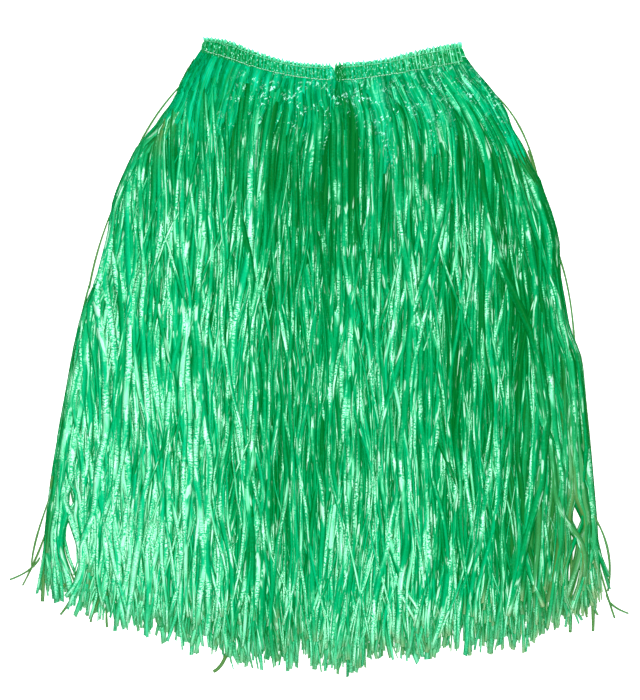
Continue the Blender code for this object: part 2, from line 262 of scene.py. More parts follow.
# The waistband's wall, from the lower edge up the outside and down the inside: height as a share of the
# band's, how far it stands out from the ring's middle plane, and how deep the gathers and the frill's
# flutes are there.
BandRow = namedtuple("BandRow", "height out gather flute")
BAND_ROWS = (
    BandRow(-0.06, 0.0030, 0.0005, 0.0000),
    BandRow(0.00, 0.0038, 0.0008, 0.0000),
    BandRow(0.06, 0.0034, 0.0004, 0.0000),
    BandRow(0.12, 0.0040, 0.0007, 0.0000),
    BandRow(0.24, 0.0046, 0.0010, 0.0000),
    BandRow(0.40, 0.0048, 0.0011, 0.0000),
    BandRow(0.56, 0.0046, 0.0010, 0.0000),
    BandRow(0.70, 0.0039, 0.0007, 0.0000),
    BandRow(0.76, 0.0033, 0.0004, 0.0000),
    BandRow(0.82, 0.0036, 0.0006, 0.0003),
    BandRow(0.90, 0.0038, 0.0005, 0.0010),
    BandRow(0.97, 0.0038, 0.0003, 0.0016),
    BandRow(1.00, 0.0036, 0.0002, 0.0018),
    BandRow(0.98, 0.0030, 0.0002, 0.0016),
    BandRow(0.84, 0.0024, 0.0002, 0.0004),
    BandRow(0.40, 0.0006, 0.0000, 0.0000),
    BandRow(0.02, 0.0006, 0.0000, 0.0000),
)
BAND_SPANS = (40, 21)  # the ring is cut into stretches twice over
FOLD_STEPS = 10
LINING = 0.0025  # the wall's inside stands out less than this

# The camera looks straight down.
VIEW_MIDDLE = (0.0010, 0.0078)
VIEW_LENGTH = 0.875  # what the view's long side covers
VIEW_LEVEL = 0.012  # at this height over the floor
LENS = 100.0
SENSOR = 36.0
FLOOR_LEVEL = -0.0005
FLOOR_SIZE = 40

SEED = 11


# ---- Places on the skirt ----


def ramp(value, start, end):
    """0 before start, 1 past end and straight between them."""
    return np.clip((value - start) / (end - start), 0, 1)


def bell(value, middle, wide):
    """1 at the middle, falling away smoothly on both sides."""
    return np.exp(-(((value - middle) / wide) ** 2))


def along_table(rows, place, column):
    """A column's value at each place, on a smooth curve through the rows."""
    ends = np.array([row[0] for row in rows])
    values = np.array([getattr(row, column) for row in rows])
    slopes = np.gradient(values, ends)
    place = np.clip(place, ends[0], ends[-1])
    index = np.clip(np.searchsorted(ends, place, side="right") - 1, 0, len(ends) - 2)
    span = ends[index + 1] - ends[index]
    share = (place - ends[index]) / span
    start, end = values[index], values[index + 1]
    eased = share * share * (3 - 2 * share)
    bend = share * (1 - share) * ((1 - share) * slopes[index] - share * slopes[index + 1]) * span
    return start + (end - start) * eased + bend


def on_skirt(across, share):
    """Plan position of a place on the skirt: a share of the way across and of the way down."""
    left = along_table(SECTIONS, share, "left")
    right = along_table(SECTIONS, share, "right")
    top = along_table(WAIST, across, "y")
    hem = along_table(HEM, across, "y")
    return left + (right - left) * across, top + (hem - top) * share


def pile_height(across, share):
    """The height of the whole pile of strands, which thins towards both sides."""
    thinning, thin_edge = 0.5, 0.08
    height = np.ones_like(across)
    for side in (across, 1 - across):
        height -= thinning * bell(np.maximum(side, 0), 0, thin_edge)
    for valley in VALLEYS:
        height -= valley.depth * bell(across - valley.drift * share, valley.across, valley.width)
    return along_table(SECTIONS, share, "pile") * height


def patch_tone(across, share, patches=PATCHES):
    """How much darker (below 0) or paler the strands look here, which for PATCHES is painted shade or
    painted paleness.
    """
    tone = np.zeros_like(across)
    for patch in patches:
        tone += patch.tone * bell(across, patch.across, patch.wide) * bell(share, patch.share, patch.long)
    return tone


# ---- Meshes ----


def film_strip(stretches):
    """One straight strand, modelled from a four-sided bar that is cut into stretches. Returns its corners
    as across (-1 to 1), up (-1, 0 or 1) and along (0 to 1), and its faces."""
    bpy.ops.object.select_all(action="DESELECT")
    bpy.ops.mesh.primitive_cylinder_add(
        vertices=4, radius=1, depth=1, location=(0, 0, 0.5), end_fill_type="NGON"
    )
    bar = bpy.context.object
    cut_lengthwise(bar, stretches - 1)
    bpy.ops.object.transform_apply(location=True)
    mesh = bar.data
    corners_of_bar = np.array([corner.co[:] for corner in mesh.vertices])
    faces = [list(face.vertices) for face in mesh.polygons]
    bpy.data.objects.remove(bar)
    return corners_of_bar.round(6), faces


def cut_lengthwise(bar, cuts):
    """Cuts a bar's long edges, which run along Z, into more stretches."""
    bpy.ops.object.mode_set(mode="EDIT")
    cage = bmesh.from_edit_mesh(bar.data)
    for face in cage.faces:
        face.select_set(False)
    for edge in cage.edges:
        edge.select_set(abs(edge.verts[0].co.z - edge.verts[1].co.z) > 1e-5)
    bmesh.update_edit_mesh(bar.data)
    bpy.ops.mesh.subdivide(number_cuts=cuts)
    bpy.ops.object.mode_set(mode="OBJECT")


def add_attributes(mesh, attributes):
    """Gives the mesh's corners the numbers that its material reads."""
    for key, values in attributes.items():
        layer = mesh.attributes.new(key, "FLOAT", "POINT")
        layer.data.foreach_set("value", values.astype(np.float32).ravel())


def joined_mesh(name, places, faces_of_one, attributes, bake_map):
    """One object of many like pieces. Places are (copies, corners, 3), and attributes (copies, corners)."""
    copies, count = places.shape[:2]
    faces = (np.array(faces_of_one)[None] + count * np.arange(copies)[:, None, None]).reshape(-1, 4)
    mesh = bpy.data.meshes.new(name)
    mesh.vertices.add(copies * count)
    mesh.vertices.foreach_set("co", places.astype(np.float32).ravel())
    mesh.loops.add(faces.size)
    mesh.loops.foreach_set("vertex_index", faces.astype(np.int32).ravel())
    mesh.polygons.add(len(faces))
    mesh.polygons.foreach_set("loop_start", np.arange(0, faces.size, 4, dtype=np.int32))
    mesh.update(calc_edges=True)
    add_attributes(mesh, attributes)
    layer = mesh.uv_layers.new(name="OFBake")
    layer.uv.foreach_set("vector", bake_map.reshape(-1, 2)[faces.ravel()].astype(np.float32).ravel())
    mesh.validate()
    made = bpy.data.objects.new(name, mesh)
    bpy.context.scene.collection.objects.link(made)
    return made


def bake_places(across, along, copies):
    """Each strip's own tall cell in the piece's map, in two rows, so that no two strips share a colour."""
    rows, half_wide, margin = 2, 0.42, 0.01
    columns = math.ceil(copies / rows)
    index = np.arange(copies)[:, None]
    u = (index % columns + 0.5 + half_wide * across) / columns
    v = (index // columns + margin + (1 - 2 * margin) * along) / rows
    return np.stack([u, np.broadcast_to(v, u.shape)], axis=-1)


def ribbons(name, path, width, roll, fold, attributes, thickness=FILM, slant=0.0):
    """Strips of film along many paths. Every array is (copies, stretches + 1): the path's x, y and z, the
    strip's width, its turn about the path and how high its middle fold stands, as a share of its width. The
    last end of each is cut at a slant, given as a share of its width."""
    x, y, z = path
    copies, steps = x.shape
    strip, faces = film_strip(steps - 1)
    across, up, along = strip.T
    ahead_x, ahead_y = np.gradient(x, axis=1), np.gradient(y, axis=1)
    size = np.hypot(ahead_x, ahead_y) + 1e-9
    ahead_x, ahead_y = ahead_x / size, ahead_y / size
    step = np.rint(along * (steps - 1)).astype(int)
    half = width[:, step] / 2
    lift = fold[:, step] * width[:, step] * (1 - np.abs(across)) + up * thickness
    turn = roll[:, step]
    out = across * half * np.cos(turn) - lift * np.sin(turn)
    rise = across * half * np.sin(turn) + lift * np.cos(turn)
    skew = slant * across * half * 2 * (step == steps - 1)
    above_floor = CLEARANCE + CLEARANCE * (up + 1)
    places = np.stack(
        [
            x[:, step] - ahead_y[:, step] * out + ahead_x[:, step] * skew,
            y[:, step] + ahead_x[:, step] * out + ahead_y[:, step] * skew,
            np.maximum(z[:, step] + rise, above_floor),
        ],
        axis=-1,
    )
    spread = {key: np.broadcast_to(values, x.shape)[:, step] for key, values in attributes.items()}
    spread["across"] = np.broadcast_to(across, spread["tone"].shape)
    return joined_mesh(name, places, faces, spread, bake_places(across, along, copies))


# ---- How strands lie ----


def smooth_wander(chance, copies, share, waves, power=1.0):
    """For each copy, a smooth random curve along share, between about -1 and 1."""
    total = np.zeros((copies, share.shape[1]))
    for wave in range(1, waves + 1):
        rate = wave * chance.uniform(0.6, 1.4, (copies, 1))
        total += np.sin(2 * math.pi * (rate * share + chance.random((copies, 1)))) / wave**power
    return total / 1.6


def part_at_slits(across, share):
    """Draws each strand aside, to the side of the slit on which it lies at the slit's middle."""
    for slit in SLITS:
        middle = slit.across + slit.lean * (share - slit.share)
        off = across - middle
        nearest = np.argmin(np.abs(share - slit.share), axis=1)[:, None]
        side = np.where(np.take_along_axis(off, nearest, axis=1) < 0, -1, 1)
        edge = slit.wide * (1 - 2 * ((share - slit.share) / slit.long) ** 2)
        soft = slit.wide * 0.4
        across = middle + side * (edge + soft * np.logaddexp(0, (off * side - edge) / soft))
    return across


def keep_inside(across, share, chance):
    """Holds strands inside the skirt's sides, each at its own distance from them."""
    nearest, scatter = 0.0055, 0.026
    limits = []
    for side in (-1, 1):
        least = nearest + scatter * chance.random((len(across), 1)) ** 1.4 + np.zeros(share.shape)
        for bow in BOWS:
            if bow.side == side:
                least += bow.deep * np.exp(-(((share - bow.share) / bow.long) ** 4))
        limits.append(least)
    return np.clip(across, limits[0], 1 - limits[1])


def hang_straighter(start, share, straight, leaves):
    """How far across a strand shifts that follows the skirt's side down to one share of the way, and from
    there hangs straighter than the side does."""
    later = leaves + SOFT_TURN * np.logaddexp(0, (share - leaves) / SOFT_TURN)
    lower, _ = on_skirt(start, later)
    top, _ = on_skirt(start, np.broadcast_to(leaves, share.shape))
    wide = along_table(SECTIONS, share, "right") - along_table(SECTIONS, share, "left")
    return straight * (top - lower) / wide


def spread_over(first, last, copies, chance):
    """Starting places that are evenly spread, each moved a little at random."""
    return first + (last - first) * (np.arange(copies)[:, None] + chance.random((copies, 1))) / copies


def hang_from(place, straight, chance):
    """For strands that end at these shares of the way across: where along the waist they start, and the
    share of the way down at which they stop spreading and hang straight."""
    least_in, most_in = 0.004, 0.044
    levels = 93
    down = np.linspace(0, HANG_LEVEL, levels)
    left, right = along_table(SECTIONS, down, "left"), along_table(SECTIONS, down, "right")
    x = left[-1] + (right[-1] - left[-1]) * place
    above = np.clip((x - left[0]) / (right[0] - left[0]), 0, 1)
    above = above + FAN * (place - above) * above * (1 - above)
    above = above + (0.5 - above) * chance.uniform(least_in, most_in, place.shape)
    start = place + (above - place) * straight
    reach = left + (right - left) * start
    past = np.where(place < JOIN_LOW, reach <= x, reach >= x)
    past[:, -1] = True
    leaves = down[np.argmax(past, axis=1)][:, None]
    return start, leaves * chance.uniform(0.85, 1.15, place.shape)


class StrandSet:
    """One set of strands, from under the yoke to their cut tips. Its arrays have a row for each strand and
    a column for each place along it. The steps are taken in the order in which they stand here, as they
    share one run of random numbers."""

    def __init__(self, spec, chance, clumps, tufts):
        self.spec, self.chance = spec, chance
        self.count = spec.count
        self.each = (spec.count, 1)
        self.place = spread_over(spec.first, spec.last, spec.count, chance)
        self.start, self.leaves = hang_from(self.place, spec.straight, chance)
        clump = np.minimum(self.place * CLUMPS, CLUMPS - 1).astype(int)
        shift, self.sway_start, self.sway_rate, self.clump_tone, self.clump_cut = clumps[:, clump]
        self.off_clump = self.place - (clump + 0.5 + 0.35 * shift) / CLUMPS
        tuft = np.minimum(self.place * TUFTS, TUFTS - 1).astype(int)
        self.off_tuft = self.place - (tuft + 0.5) / TUFTS
        self.tuft_cut = tufts[tuft]

    def cut_to_length(self):
        """Where along the skirt each strand starts and ends, and so each place along it."""
        root = self.chance.uniform(0.004, 0.05, self.each)
        tip = TIP_REACH - TIP_SPREAD * self.chance.random(self.each) ** 0.8
        tip = tip - 0.005 * (self.clump_cut + 1) - 0.011 * (self.tuft_cut + 1)
        self.ease = np.linspace(0, 1, self.spec.stretches + 1)[None] ** 0.95
        self.share = root + (tip - root) * self.ease

    def lead_down(self):
        """How each strand wanders, crosses its neighbours or bunches with them on its way down."""
        chance, count, each, share = self.chance, self.count, self.each, self.share
        loose = ramp(share, 0, 0.4)
        wander = SLOW_WANDER * smooth_wander(chance, count, share, 4, 0.9) * loose
        wander = wander + QUICK_WANDER * smooth_wander(chance, count, share * 2.6, 3, 0.5) * loose
        drift = chance.normal(0, DRIFT, each) * share
        self.crosses = chance.random(each) < CROSSING
        crossing = self.crosses * chance.normal(0, CROSSING_DRIFT, each)
        drift = drift + crossing * np.sin(math.pi * np.clip(share - 0.12, 0, 1)) ** 2
        straightness = chance.normal(*STRAIGHTNESS, each)
        free = self.start + drift + wander + hang_straighter(self.start, share, straightness, self.leaves)
        sway = SWAY * np.sin(2 * math.pi * (self.sway_start + share * (0.8 + 1.1 * self.sway_rate)))
        hold = BUNCHED * ramp(share, 0, 0.3) * chance.uniform(0.2, 1.0, each)
        bunched = (sway * share - self.off_clump * hold) * (1 - self.crosses)
        across = keep_inside(free + bunched, share, chance)
        drawn = TUFTED * ramp(share, 0.86, 0.98) * (1 - self.crosses)
        self.across = part_at_slits(across - drawn * self.off_tuft, share)
        self.off_middle = np.clip(1.6 * self.off_clump * (1 - hold) * CLUMPS, -1, 1)

    def flare_tips(self):
        """The strands' plan positions, with their tips spread sideways, a few of them further."""
        slight, wide = 0.0026, 0.0090
        x, y = on_skirt(self.across, self.share)
        flare = np.where(self.chance.random(self.each) < FLARED, wide, slight)
        return x + ramp(self.ease, 0.86, 1) ** 1.4 * flare * self.chance.normal(0, 1, self.each), y

    def pile_up(self):
        """How high each strand lies. Those that cross lie higher, and all are tucked in under the yoke."""
        lifted, tucked, tucked_by_side = 0.10, 0.14, 0.20
        spec, share = self.spec, self.share
        depth = self.chance.uniform(spec.low, spec.high, self.each)
        depth = depth + 0.06 * smooth_wander(self.chance, self.count, share, 2)
        depth = depth + lifted * self.crosses * (share > 0.2) - tucked * ramp(share, 0.10, 0)
        by_side = ramp(np.abs(self.start - 0.5), 0.40, 0.48)
        self.depth = depth - tucked_by_side * ramp(self.leaves - share, 0, 0.05) * by_side
        roof = pile_height(self.across, share) * (1 - 0.34 * self.off_middle**2)
        return roof * np.clip(self.depth, 0.02, SURFACE) + FLOOR_GAP

    def slit_to_width(self):
        """Each strand's width, uneven from strand to strand and narrower towards its tip."""
        broad = np.exp(self.chance.normal(0, 0.42, self.each))
        crumpled = 0.24 * smooth_wander(self.chance, self.count, self.share, 3)
        width = STRAND_WIDTH * broad * (1.04 - 0.18 * self.share + crumpled)
        return np.clip(width, NARROWEST, WIDEST) * (1 - 0.36 * ramp(self.ease, 0.88, 1))

    def twist(self):
        """How each strand turns about its path, and how high its middle fold stands."""
        chance, count, each, share = self.chance, self.count, self.each, self.share
        roll = chance.normal(0, 0.14, each) + 0.30 * smooth_wander(chance, count, share, 4, 0.7)
        fold = 0.05 + 0.12 * chance.random(each) + 0.04 * smooth_wander(chance, count, share, 2)
        return roll - 0.22 * self.off_middle, fold

    def colour(self):
        """What the film's material reads. Its tone carries painted shade: strands are painted paler high in
        the pile, in the middle of their clump and towards the hem, and darker deep in the pile, at their
        clump's edges and in the hidden inner sets. The back's outer ones are seen from below, so their
        painted shade runs the other way. Those at the sides have yellowed, and the tips are cut and thin."""
        spec, chance, each, across, share = self.spec, self.chance, self.each, self.across, self.share
        height = (self.depth - spec.low) / (spec.high - spec.low)
        seen_from_below = spec.low == 0
        if seen_from_below:
            height = 1 - height
        hidden = 0 < spec.low < 0.6
        # tone: random per strand and clump, plus painted shade by depth in the pile, by place in the clump
        # and for the hidden sets, and the patches' painted shade and paleness
        tone = 0.41 + chance.normal(0, 0.12, each) + 0.10 * self.clump_tone + patch_tone(across, share)
        tone = tone + 0.32 * (height - 0.58) - 0.34 * self.off_middle**2 + 0.06 * share - 0.14 * hidden
        edge = bell(np.minimum(across, 1 - across), 0, 0.010)
        yellowed = 0.6 * edge + patch_tone(across, share, YELLOWED)
        cut = ramp(self.ease, 0.968, 0.998) * (0.7 + 0.6 * across**2)
        return {
            "tone": np.clip(tone, 0, 1),
            "along": share * STRAND_LENGTH,
            "seed": chance.random(each),
            "age": yellowed * chance.random(each) ** 2,
            "cut": cut * chance.random(each) ** 0.5,
            "thin": ramp(share, 0.92, 1) * (0.2 + 0.8 * chance.random(each)),
        }


def hang_strands(spec, chance, clumps, tufts):
    """One set of strands, which takes the place of its solid."""
    hung = StrandSet(spec, chance, clumps, tufts)
    hung.cut_to_length()
    hung.lead_down()
    x, y = hung.flare_tips()
    z = hung.pile_up()
    width = hung.slit_to_width()
    roll, fold = hung.twist()
    attributes = hung.colour()
    slant = chance.uniform(-0.35, 0.35, hung.each)
    name = spec.node.replace("_strands", "_film")
    made = ribbons(name, (x, y, z), width, roll, fold, attributes, slant=slant)
    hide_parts(spec.node)
    return made


def lay_loose_strands(chance):
    """Strands that come up out of the front and cross over the others for part of their length."""
    count, each = LOOSE, (LOOSE, 1)
    ease = np.linspace(0, 1, LOOSE_STRETCHES + 1)[None]
    first = chance.uniform(0.06, 0.74, each)
    last = first + chance.uniform(0.16, 0.48, each)
    last = np.minimum(last, chance.uniform(0.92, 0.985, each))
    share = first + (last - first) * ease
    lean = chance.normal(0, 0.044, each)
    across = chance.uniform(0.04, 0.96, each) + lean * (ease - 0.5)
    across = across + 0.009 * smooth_wander(chance, count, share, 5, 0.9)
    across = part_at_slits(keep_inside(across, share, chance), share)
    surfaced = np.sin(math.pi * ease)
    z = pile_height(across, share) * (0.74 + 0.32 * surfaced)
    twisted = chance.random(each) < TWISTED
    width = np.where(twisted, LOOSE_WIDTHS[1], LOOSE_WIDTHS[0]) * np.exp(chance.normal(0, 0.25, each))
    width = width * (0.45 + 0.55 * surfaced) * (1 + 0.2 * smooth_wander(chance, count, share, 3))
    roll = 0.30 * smooth_wander(chance, count, share, 4, 0.7)
    fold = 0.10 + 0.04 * smooth_wander(chance, count, share, 2)
    # tone: random, plus half the patches' painted shade and paleness
    tone = 0.46 + 0.12 * twisted + chance.normal(0, 0.10, each) + 0.5 * patch_tone(across, share)
    attributes = {
        "tone": np.clip(tone, 0, 1),
        "along": share * STRAND_LENGTH,
        "seed": chance.random(each),
        "age": np.zeros(each),
        "cut": np.zeros(each),
        "thin": np.zeros(each),
    }
    return ribbons("loose_crossing_film", (*on_skirt(across, share), z), width, roll, fold, attributes)


def fold_yoke(spec, chance):
    """The film's unslit top: wide overlapping folds that leave the waistband and narrow into strands."""
    count, each = spec.count, (spec.count, 1)
    start, leaves = hang_from(spread_over(spec.first, spec.last, count, chance), spec.straight, chance)
    length = chance.uniform(0.05, 0.19, each)
    ease = np.linspace(0, 1, YOKE_STRETCHES + 1)[None]
    share = length * ease
    across = start + 0.007 * smooth_wander(chance, count, ease, 3) * ease
    across = across + hang_straighter(start, share, 1.0, leaves)
    width = YOKE_WIDTH * np.exp(chance.normal(0, 0.36, each)) * (1 - 0.82 * ease**1.2)
    width = width * (1 + 0.16 * smooth_wander(chance, count, ease, 3))
    inset = 0.5 * width / YOKE_SPAN
    across = keep_inside(np.clip(across, inset, 1 - inset), share, chance)
    x, y = on_skirt(across, share)
    y = y + 0.0015 * (1 - ease)
    depth = chance.uniform(spec.low, spec.high, each)
    depth = depth + 0.04 * smooth_wander(chance, count, ease, 3) * ease - 0.16 * ease
    under_band = np.where(ease < 0.05, 0.90, 1.0)
    z = pile_height(across, share) * depth * under_band + FLOOR_GAP
    roll = 0.26 * smooth_wander(chance, count, ease, 4, 0.7) * ease
    fold = 0.09 * ease * chance.random(each)
    # tone: random, plus the patches' painted shade and paleness
    tone = 0.44 + chance.normal(0, 0.08, each) * ease + patch_tone(across, share)
    attributes = {
        "tone": np.clip(tone, 0, 1),
        "along": share * STRAND_LENGTH,
        "seed": chance.random(each),
        "sparkle": ramp(across, 0.14, 0.20) * ramp(share, -0.02, 0.03) * ramp(share, 0.16, 0.06),
        "drawn": ramp(across, 0.52, 0.76) * ramp(share, 0.126, 0.036),
    }
    return ribbons(spec.name, (x, y, z), width, roll, fold, attributes)


def lay_strays(chance):
    """The single strands that bow out at the sides and lie loose at the hem."""
    rows = np.array(STRAYS)
    count, each = len(rows), (len(rows), 1)
    t = np.linspace(0, 1, STRAY_STRETCHES + 1)[None]
    first, middle, last = rows[:, 0:2, None], rows[:, 2:4, None], rows[:, 4:6, None]
    bend = 2 * middle - (first + last) / 2
    path = first * (1 - t) ** 2 + bend * 2 * t * (1 - t) + last * t**2
    x, y = path[:, 0], path[:, 1]
    t = np.broadcast_to(t, x.shape)
    low, high = 0.0016, 0.004
    z = low + high * (1 - t) ** 2
    width = rows[:, 6:7] * (1 + 0.15 * smooth_wander(chance, count, t, 2))
    roll = 0.35 * smooth_wander(chance, count, t, 2)
    attributes = {
        "tone": np.full(x.shape, 0.30),
        "along": t * STRAY_LENGTH,
        "seed": chance.random(each),
        "age": 0.70 + 0.25 * chance.random(each),
        "cut": 0.4 * t**8,
        "thin": np.full(x.shape, 0.1),
    }
    return ribbons("stray_strands", (x, y, z), width, roll, np.full(x.shape, 0.12), attributes)


# ---- Waistband ----


def band_columns():
    """Round the ring from the join: place across the waist, turn from front (0) to back (1), and side."""
    count = BAND_SPANS[0] * BAND_SPANS[1] + 1
    front = (count - 2 * FOLD_STEPS) // 3
    back = count - 2 * FOLD_STEPS - 2 * front
    right = np.linspace(JOIN + JOIN_GAP, 1, front)
    behind = np.linspace(1, 0, back)
    left = np.linspace(0, JOIN - JOIN_GAP, front)
    turns = np.linspace(0, 1, FOLD_STEPS + 2)[1:-1]
    across = np.concatenate([right, np.ones(FOLD_STEPS), behind, np.zeros(FOLD_STEPS), left])
    turned = np.concatenate([np.zeros(front), turns, np.ones(back), turns[::-1], np.zeros(front)])
    side = np.where(np.arange(count) < count // 2, 1, -1)
    return across, turned, side


def gather_waves(across, turned, chance):
    """The gathers round the ring, from about -1 to 1 with sharp valleys, the frill's flutes, and how far
    round the ring each column is (0 to 2)."""
    ring = across * (1 - turned) + (2 - across) * turned
    knots = np.arange(-2, 2 * GATHERS + 3)
    uneven = chance.uniform(-0.40, 0.40, len(knots))
    phase = np.interp(ring * GATHERS, knots, knots + uneven)
    deep = np.interp(phase, knots, chance.uniform(0.40, 1.4, len(knots)))
    pleat = (2 * np.abs(np.cos(math.pi * phase)) ** 0.7 - 1) * deep
    shift = 1.1 * np.interp(phase, knots, chance.uniform(-1, 1, len(knots)))
    return pleat, np.sin(2 * math.pi * phase + shift) * deep, ring


def band_place(across, turned, side, height, out, rise=0.0):
    """A place on the waistband at a share of its height, standing out from the ring's middle plane."""
    left = SECTIONS[0].left + BAND_MIDDLE + BAND_LEAN[0] * height
    right = SECTIONS[0].right - BAND_MIDDLE + BAND_LEAN[1] * height
    x = left + (right - left) * across + side * out * np.sin(math.pi * turned)
    y = along_table(WAIST, across, "y") + along_table(WAIST, across, "tall") * height + rise
    z = np.maximum(BAND_MIDDLE + out * np.cos(math.pi * turned), CLEARANCE)
    return np.stack(np.broadcast_arrays(x, y, z), axis=-1)


def band_wall(across, turned, side, pleat, flute):
    """The places of the waistband's wall, a row for each column round the ring."""
    by_join = across - JOIN
    leaning = np.where(by_join < 0, -NOTCH[0], NOTCH[1])
    lean_away = leaning * np.exp(-np.abs(by_join) / NOTCH_REACH) * (turned < 0.5)
    dip = NOTCH_DIP * bell(by_join, -0.004, 0.024) * (turned > 0.5)
    rows = []
    for row in BAND_ROWS:
        ruffle = row.gather * pleat + row.flute * flute
        out = row.out + ruffle * (1 - 0.5 * turned) - 0.0007 * (row.out > LINING) * turned
        rise = FRILL_RISE * flute * ramp(row.height, FRILL, 1) - dip * ramp(row.height, 0.40, 1)
        place = band_place(across, turned, side, row.height, np.maximum(out, 0.0002), rise)
        place[:, 0] += lean_away * ramp(row.height, NOTCH_FROM, 1)
        rows.append(place)
    return np.stack(rows, axis=1)


def chart_band(mesh, straight, column, row, count, around):
    """The ring's bake map. Columns run along it and the wall's rows up it, and both cut ends share a
    corner."""
    map_corner, cap_size = 0.9995, 0.0004
    corner = np.zeros(len(mesh.loops), dtype=np.int32)
    mesh.loops.foreach_get("vertex_index", corner)
    chart = np.stack([column[corner] / count, row[corner] / around], axis=1)
    for face in mesh.polygons:
        loops = slice(face.loop_start, face.loop_start + face.loop_total)
        if face.loop_total > 4:
            chart[loops] = map_corner + cap_size * straight[corner[loops]][:, :2]
        elif np.ptp(chart[loops, 1]) > 0.5:
            chart[loops, 1] = np.where(chart[loops, 1] < 0.5, chart[loops, 1] + 1, chart[loops, 1])
    chart[:, 1] *= around / (around + 1)
    layer = mesh.uv_layers.new(name="OFBake")
    layer.uv.foreach_set("vector", chart.astype(np.float32).ravel())


def band_looks(across, turned, heights, outs, pleat, flute, ring):
    """What the waistband's material reads. It is darker after the join and at both sides, and paler before
    the join and on the frill. Its tone also carries painted shade in the valleys of the gathers and flutes
    and a painted highlight on their ridges and on the frill's crests, and the wall's inside is painted
    deep green as shade."""
    front = 1 - turned
    by_join = across - JOIN
    frill = ramp(heights, 0.78, 0.88)
    wave = pleat * (1 - frill) + flute * frill
    after = bell(by_join, 0.020, 0.020) * (by_join > 0)
    before = bell(by_join, -0.012, 0.014) * (by_join < 0)
    right = ramp(across, 0.70, 0.86) * front
    # painted shade in the valleys of the gathers and flutes, painted highlight on their ridges
    tone = 0.22 + (0.17 + 0.25 * frill) * wave + 0.24 * frill - 0.12 * right
    tone = tone - 0.14 * ramp(across, 0.26, 0.14) * (1 - 0.5 * frill)
    tone = tone + (0.22 * before - 0.42 * after) * front
    return {
        # the wall's inside is painted deep green, as shade
        "tone": np.clip(tone * (outs > LINING), 0, 1),
        "along": ring * BAND_ROUND,
        "up": heights * BAND_TALL,
        "right": right,
        # painted highlight on the frill's crests
        "crest_highlight": np.clip(frill * (0.35 + 0.65 * wave), 0, 1) * (1 - 0.8 * after * front),
    }


def sew_waistband(chance):
    """The gathered casing with its fluted frill, one flattened ring of film, open at the join. It is
    modelled from a bar with a side for each row of its wall, cut into stretches and bent round."""
    across, turned, side = band_columns()
    pleat, flute, ring = gather_waves(across, turned, chance)
    places = band_wall(across, turned, side, pleat, flute)
    count, around = places.shape[:2]
    bpy.ops.object.select_all(action="DESELECT")
    bpy.ops.mesh.primitive_cylinder_add(vertices=around, radius=1, depth=1, end_fill_type="NGON")
    made = bpy.context.object
    made.name = "gathered_waistband"
    for spans in BAND_SPANS:
        cut_lengthwise(made, spans - 1)
    mesh = made.data
    straight = np.array([corner.co[:] for corner in mesh.vertices])
    column = np.rint((straight[:, 2] + 0.5) * (count - 1)).astype(int)
    turn = np.arctan2(straight[:, 0], straight[:, 1]) / (2 * math.pi)
    row = np.rint(turn * around).astype(int) % around
    mesh.vertices.foreach_set("co", places[column, row].astype(np.float32).ravel())
    chart_band(mesh, straight, column, row, count, around)
    heights = np.array([band_row.height for band_row in BAND_ROWS])[row]
    outs = np.array([band_row.out for band_row in BAND_ROWS])[row]
    columns = [values[column] for values in (pleat, flute, ring)]
    add_attributes(mesh, band_looks(across[column], turned[column], heights, outs, *columns))
    bpy.ops.object.mode_set(mode="EDIT")
    bpy.ops.mesh.select_all(action="SELECT")
    bpy.ops.mesh.normals_make_consistent(inside=False)
    bpy.ops.object.mode_set(mode="OBJECT")
    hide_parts("waistband")
    return made


def stitch_rows(chance):
    """Two rows of small stitches round the casing: the lower one clear and pale, the upper one fainter."""
    bulge, wobble = 0.0006, 0.0002
    wide = SECTIONS[0].right - SECTIONS[0].left
    count = int(wide / STITCH_PITCH)
    middle = (np.arange(count) + 0.5)[:, None] / count
    share = np.linspace(-1, 1, 5)[None]
    places, tones = [], []
    for turned in (0.0, 1.0):
        sewn = (middle[:, 0] < JOIN_BARE[0]) | (middle[:, 0] > JOIN_BARE[1]) | (turned > 0.5)
        for height, bright in zip(STITCH_LINES, STITCH_TONES):
            across = middle + share * STITCH_LENGTH / 2 / wide + chance.normal(0, 0.0004, (count, 1))
            across = across[sewn]
            each = (len(across), 1)
            out = STITCH_OUT + bulge * (1 - share**2) + wobble * chance.normal(0, 1, each)
            high = height + 0.012 * chance.normal(0, 1, each)
            faded = ramp(across, 0.74, 0.84) * (1 - turned)
            tones.append(bright * (1 - 0.55 * faded) + 0.15 * chance.normal(0, 1, each))
            places.append(band_place(across, turned, 1, high, out * (1 - 0.04 * turned)))
    x, y, z = np.moveaxis(np.concatenate(places), -1, 0)
    attributes = {"tone": np.clip(np.concatenate(tones), 0, 1), "along": x}
    level = np.zeros(x.shape)
    return ribbons("waistband_stitches", (x, y, z), level + THREAD, level, level, attributes, THREAD / 2)


# ---- Shader maths ----


class Value:
    """A socket of a material's nodes that adds Math nodes when it is reckoned with."""

    def __init__(self, shader, socket):
        self.shader = shader
        self.socket = socket

    def _maths(self, operation, *inputs):
        return self.shader.node("ShaderNodeMath", dict(enumerate(inputs)), operation=operation)

    def __add__(self, other):
        return self._maths("ADD", self, other)

    __radd__ = __add__

    def __mul__(self, other):
        return self._maths("MULTIPLY", self, other)

    __rmul__ = __mul__

    def __sub__(self, other):
        return self._maths("SUBTRACT", self, other)

    def __rsub__(self, other):
        return self._maths("SUBTRACT", other, self)


